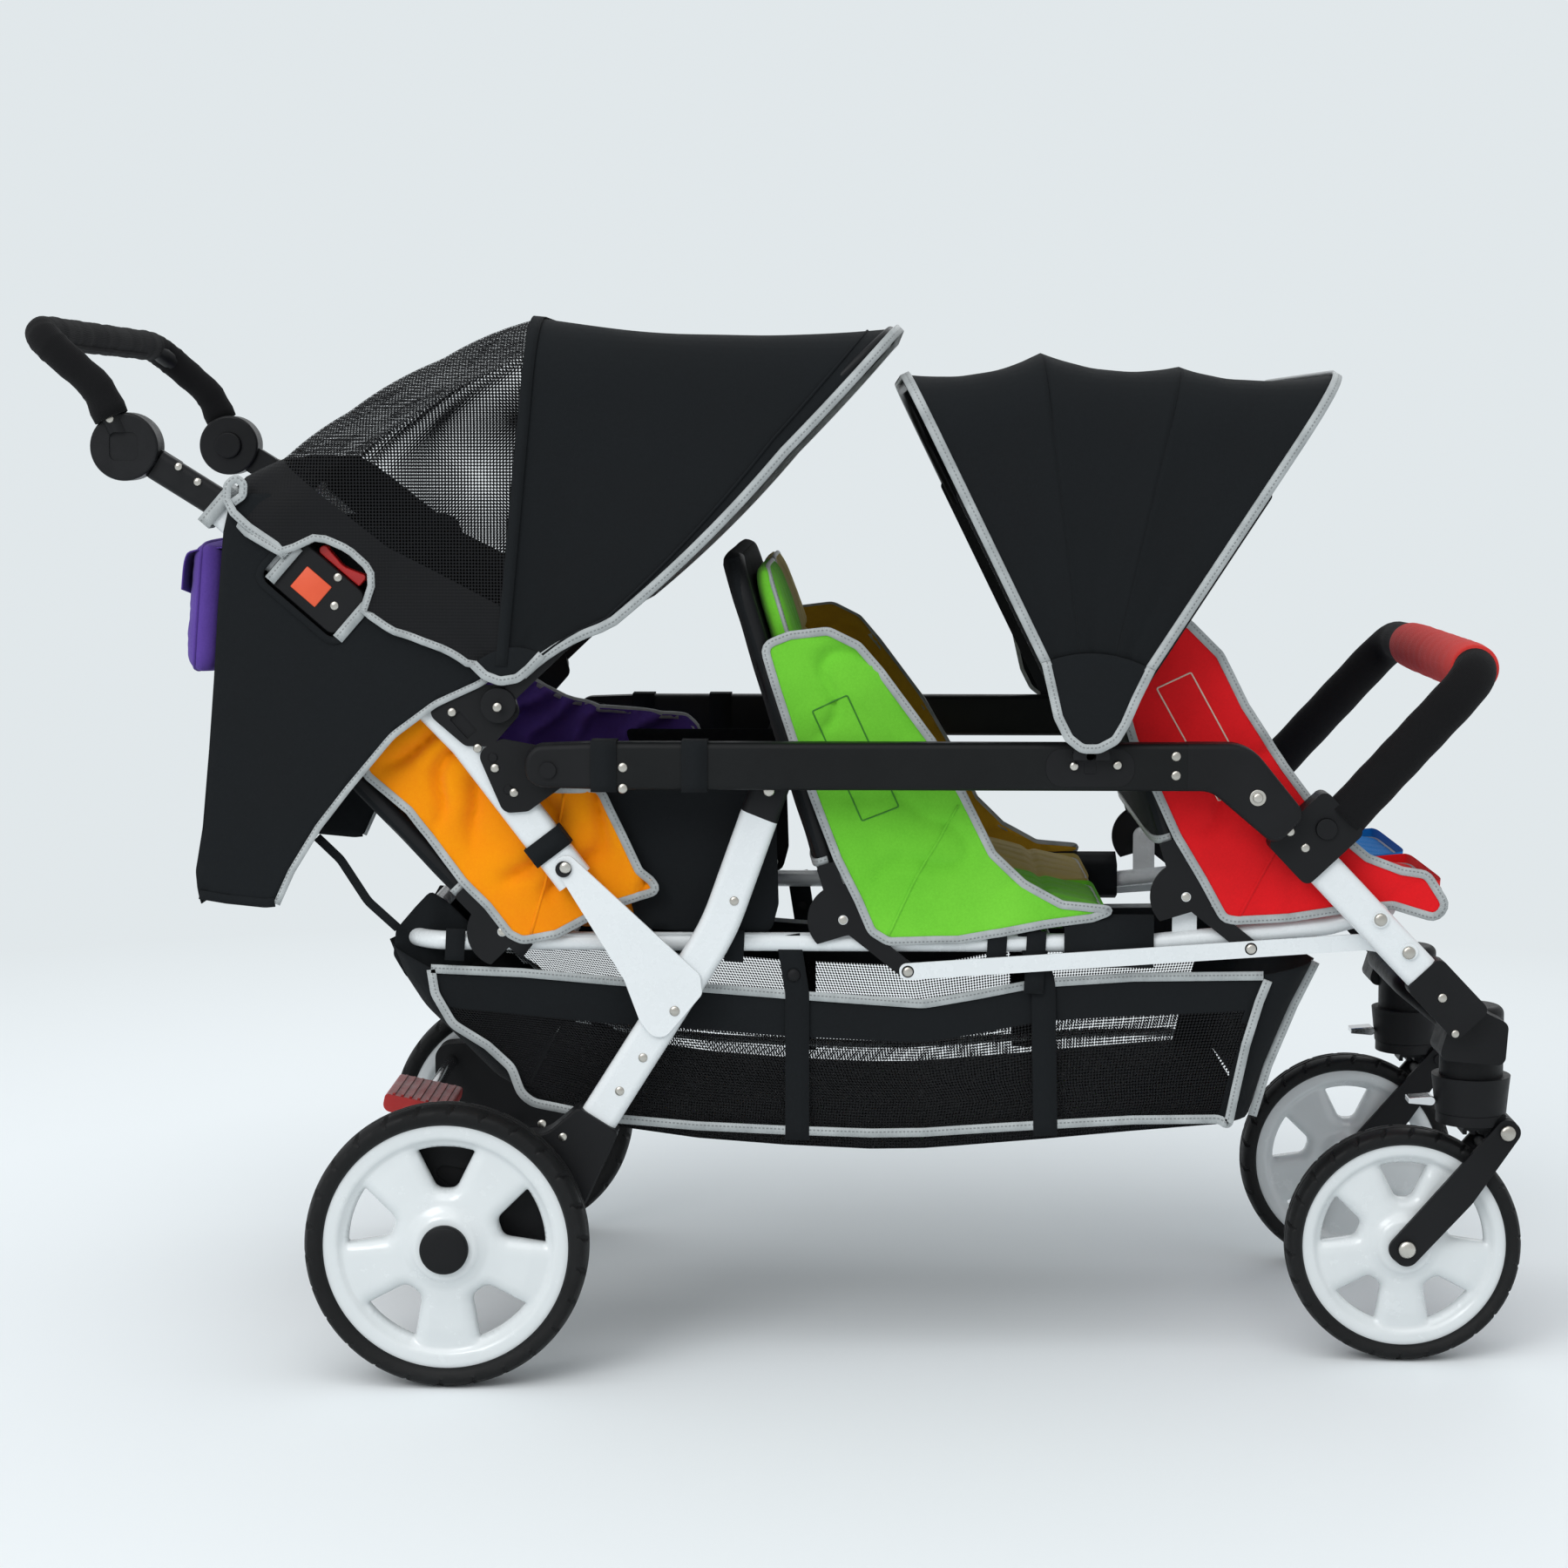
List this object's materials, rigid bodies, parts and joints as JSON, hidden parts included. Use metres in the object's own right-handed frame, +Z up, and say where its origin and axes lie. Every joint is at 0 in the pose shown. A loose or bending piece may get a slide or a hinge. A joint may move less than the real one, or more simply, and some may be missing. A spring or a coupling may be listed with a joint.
{
  "type": "stroller",
  "caption": "Folding multi-seat stroller with paired cloth seats in rows, sun canopies, an under-seat basket, a push handle and sprung swivel front wheels.",
  "frame": {"origin": "on the floor under the middle of the whole stroller", "axes": "+X forward, +Y to the left, +Z up"},
  "size_m": [1.6004, 0.7082, 1.1275],
  "materials": {
    "white_frame": "gloss",
    "black_frame": "satin",
    "black_moulding": "matte",
    "bolt_steel": "satin",
    "chrome": "polished",
    "foam": "matte",
    "tyre": "matte",
    "white_rim": "gloss",
    "red_plastic": "gloss",
    "black_cloth": "woven",
    "purple_cloth": "woven",
    "orange_cloth": "woven",
    "green_cloth": "woven",
    "red_cloth": "woven"
  },
  "bodies": {
    "rails": {"side_rails": "black_frame", "rail_fittings": "black_moulding", "rail_bolts": "bolt_steel", "front_canopy_bow_rear": "white_frame", "front_canopy_cloth": "black_cloth"},
    "second_bow": {"front_canopy_bow_second": "white_frame"},
    "third_bow": {"front_canopy_bow_third": "white_frame"},
    "front_bow": {"front_canopy_bow_front": "white_frame"},
    "push_frame": {"push_tubes": "white_frame", "hub_inserts": "black_moulding", "lock_housings": "black_moulding", "tube_brackets": "black_moulding", "rear_curtain": "black_cloth", "rear_pouch": "purple_cloth"},
    "fold_levers": {"lock_levers": "red_plastic"},
    "rear_canopy": {"rear_canopy_bow_middle": "white_frame", "rear_canopy_cloth": "black_cloth"},
    "rear_canopy_front": {"rear_canopy_bow_front": "white_frame"},
    "handle": {"handle_bar": "black_frame", "handle_grip": "foam"},
    "left_hub_button": {"hub_button_left": "black_moulding"},
    "right_hub_button": {"hub_button_right": "black_moulding"},
    "gussets": {"gusset_plates": "white_frame"},
    "rear_frame": {"rear_legs": "white_frame", "axle_housings": "black_moulding", "rear_axle": "chrome"},
    "brake": {"brake_pedal": "red_plastic"},
    "rear_wheel_left": {"rear_tyre_left": "tyre", "rear_rim_left": "white_rim"},
    "rear_wheel_right": {"rear_tyre_right": "tyre", "rear_rim_right": "white_rim"},
    "front_frame": {"front_legs": "white_frame", "caster_mounts": "black_moulding", "bumper_sockets": "black_moulding"},
    "bumper": {"bumper_bar": "foam", "bumper_wrap": "red_cloth"},
    "left_bumper_button": {"bumper_button_left": "black_moulding"},
    "right_bumper_button": {"bumper_button_right": "black_moulding"},
    "swivel_lock_levers": {"swivel_locks": "chrome"},
    "caster_left": {"caster_crown_left": "black_moulding"},
    "caster_right": {"caster_crown_right": "black_moulding"},
    "fork_left": {"caster_fork_left": "black_moulding"},
    "fork_right": {"caster_fork_right": "black_moulding"},
    "front_wheel_left": {"front_tyre_left": "tyre", "front_rim_left": "white_rim"},
    "front_wheel_right": {"front_tyre_right": "tyre", "front_rim_right": "white_rim"},
    "seat": {"seat_frame": "white_frame", "rear_cushions": "orange_cloth", "middle_cushions": "green_cloth", "front_cushions": "red_cloth", "side_panels": "green_cloth", "basket": "black_cloth"},
    "rear_back": {"rear_back_frame": "white_frame", "rear_back_pads": "orange_cloth"},
    "middle_back": {"middle_back_frame": "white_frame", "middle_back_pads": "green_cloth"},
    "front_back": {"front_back_frame": "white_frame", "front_back_pads": "red_cloth"},
    "links": {"link_bars": "white_frame"}
  },
  "joints": [
    {"name": "main_fold", "type": "hinge", "parent": "rails", "child": "push_frame", "pos_m": [-0.24175, 0, 0.652], "axis": [0, 1, 0], "range_deg": [0, 45], "deforming": ["rear_curtain", "side_panels"]},
    {"name": "rear_leg_fold", "type": "hinge", "parent": "rails", "child": "rear_frame", "pos_m": [-0.01075, 0, 0.632], "axis": [0, 1, 0], "range_deg": [0, 16.79]},
    {"name": "gusset_turn", "type": "hinge", "parent": "push_frame", "child": "gussets", "pos_m": [-0.22875, 0, 0.544], "axis": [0, 1, 0], "range_deg": [-52.2, 0]},
    {"name": "front_leg_fold", "type": "hinge", "parent": "rails", "child": "front_frame", "pos_m": [0.49725, 0, 0.625], "axis": [0, 1, 0], "range_deg": [-20.25, 0]},
    {"name": "seat_turn", "type": "hinge", "parent": "front_frame", "child": "seat", "pos_m": [0.63125, 0, 0.493], "axis": [0, 1, 0], "range_deg": [0, 20.25]},
    {"name": "link_turn", "type": "hinge", "parent": "front_frame", "child": "links", "pos_m": [0.66225, 0, 0.459], "axis": [0, 1, 0], "range_deg": [0, 20.25]},
    {"name": "rear_back_recline", "type": "hinge", "parent": "seat", "child": "rear_back", "pos_m": [-0.29775, 0, 0.472], "axis": [0, 1, 0], "range_deg": [-10.12, 0]},
    {"name": "middle_back_recline", "type": "hinge", "parent": "seat", "child": "middle_back", "pos_m": [0.06625, 0, 0.486], "axis": [0, 1, 0], "range_deg": [-10.12, 0]},
    {"name": "front_back_recline", "type": "hinge", "parent": "seat", "child": "front_back", "pos_m": [0.43025, 0, 0.512], "axis": [0, 1, 0], "range_deg": [-10.12, 0]},
    {"name": "rear_canopy_level", "type": "hinge", "parent": "push_frame", "child": "rear_canopy", "pos_m": [-0.29575, 0, 0.718], "axis": [0, 1, 0], "range_deg": [-45, 0]},
    {"name": "rear_canopy_fold", "type": "hinge", "parent": "rear_canopy", "child": "rear_canopy_front", "pos_m": [-0.29575, 0, 0.718], "axis": [0, 1, 0], "range_deg": [-36, 0], "deforming": ["rear_canopy_cloth"]},
    {"name": "front_canopy_fold", "type": "hinge", "parent": "rails", "child": "second_bow", "pos_m": [0.32325, 0, 0.669], "axis": [0, 1, 0], "range_deg": [-15, 0], "deforming": ["front_canopy_cloth"]},
    {"name": "third_bow_fold", "type": "hinge", "parent": "second_bow", "child": "third_bow", "pos_m": [0.32325, 0, 0.669], "axis": [0, 1, 0], "range_deg": [-15, 0]},
    {"name": "front_bow_fold", "type": "hinge", "parent": "third_bow", "child": "front_bow", "pos_m": [0.32325, 0, 0.669], "axis": [0, 1, 0], "range_deg": [-15, 0]},
    {"name": "handle_angle", "type": "hinge", "parent": "push_frame", "child": "handle", "pos_m": [-0.68875, 0, 0.989], "axis": [0, 1, 0], "range_deg": [-45, 45]},
    {"name": "left_hub_press", "type": "slide", "parent": "push_frame", "child": "left_hub_button", "axis": [0, 1, 0], "range_m": [0, 0.004], "stiffness_N_per_m": 400, "springref_m": -0.002},
    {"name": "right_hub_press", "type": "slide", "parent": "push_frame", "child": "right_hub_button", "axis": [0, -1, 0], "range_m": [0, 0.004], "stiffness_N_per_m": 400, "springref_m": -0.002},
    {"name": "fold_lever_lift", "type": "hinge", "parent": "push_frame", "child": "fold_levers", "pos_m": [-0.48074, 0, 0.88002], "axis": [0, 1, 0], "range_deg": [-20, 0], "stiffness_Nm_per_rad": 1.2, "springref_deg": 17.19},
    {"name": "brake_rock", "type": "hinge", "parent": "rear_frame", "child": "brake", "pos_m": [-0.42075, 0, 0.228], "axis": [0, 1, 0], "range_deg": [-12, 12]},
    {"name": "rear_spin_left", "type": "hinge", "parent": "rear_frame", "child": "rear_wheel_left", "pos_m": [-0.35075, 0.32, 0.15], "axis": [0, 1, 0], "continuous": true},
    {"name": "rear_spin_right", "type": "hinge", "parent": "rear_frame", "child": "rear_wheel_right", "pos_m": [-0.35075, -0.32, 0.15], "axis": [0, 1, 0], "continuous": true},
    {"name": "bumper_slide", "type": "slide", "parent": "front_frame", "child": "bumper", "axis": [0.6745, 0, 0.7383], "range_m": [0, 0.07]},
    {"name": "left_bumper_press", "type": "slide", "parent": "front_frame", "child": "left_bumper_button", "axis": [0, -1, 0], "range_m": [0, 0.0025], "stiffness_N_per_m": 400, "springref_m": -0.002},
    {"name": "right_bumper_press", "type": "slide", "parent": "front_frame", "child": "right_bumper_button", "axis": [0, 1, 0], "range_m": [0, 0.0025], "stiffness_N_per_m": 400, "springref_m": -0.002},
    {"name": "swivel_lock_lift", "type": "hinge", "parent": "front_frame", "child": "swivel_lock_levers", "pos_m": [0.70065, 0, 0.284], "axis": [0, 1, 0], "range_deg": [0, 25]},
    {"name": "swivel_left", "type": "hinge", "parent": "front_frame", "child": "caster_left", "pos_m": [0.74525, 0.2, 0.27], "axis": [0, 0, 1], "continuous": true},
    {"name": "swivel_right", "type": "hinge", "parent": "front_frame", "child": "caster_right", "pos_m": [0.74525, -0.2, 0.27], "axis": [0, 0, 1], "continuous": true},
    {"name": "fork_spring_left", "type": "hinge", "parent": "caster_left", "child": "fork_left", "pos_m": [0.77925, 0.2, 0.254], "axis": [0, 1, 0], "range_deg": [0, 5], "stiffness_Nm_per_rad": 900, "springref_deg": -2.01},
    {"name": "fork_spring_right", "type": "hinge", "parent": "caster_right", "child": "fork_right", "pos_m": [0.77925, -0.2, 0.254], "axis": [0, 1, 0], "range_deg": [0, 5], "stiffness_Nm_per_rad": 900, "springref_deg": -2.01},
    {"name": "front_spin_left", "type": "hinge", "parent": "fork_left", "child": "front_wheel_left", "pos_m": [0.67325, 0.2, 0.127], "axis": [0, 1, 0], "continuous": true},
    {"name": "front_spin_right", "type": "hinge", "parent": "fork_right", "child": "front_wheel_right", "pos_m": [0.67325, -0.2, 0.127], "axis": [0, 1, 0], "continuous": true}
  ],
  "couplings": [
    {"joint": "rear_leg_fold", "follows": "main_fold", "ratio": 0.373},
    {"joint": "gusset_turn", "follows": "main_fold", "ratio": -1.16},
    {"joint": "front_leg_fold", "follows": "main_fold", "ratio": -0.45},
    {"joint": "seat_turn", "follows": "main_fold", "ratio": 0.45},
    {"joint": "link_turn", "follows": "main_fold", "ratio": 0.45},
    {"joint": "rear_back_recline", "follows": "main_fold", "ratio": -0.225},
    {"joint": "middle_back_recline", "follows": "main_fold", "ratio": -0.225},
    {"joint": "front_back_recline", "follows": "main_fold", "ratio": -0.225},
    {"joint": "rear_canopy_level", "follows": "main_fold", "ratio": -1},
    {"joint": "third_bow_fold", "follows": "front_canopy_fold", "ratio": 1},
    {"joint": "front_bow_fold", "follows": "front_canopy_fold", "ratio": 1}
  ]
}
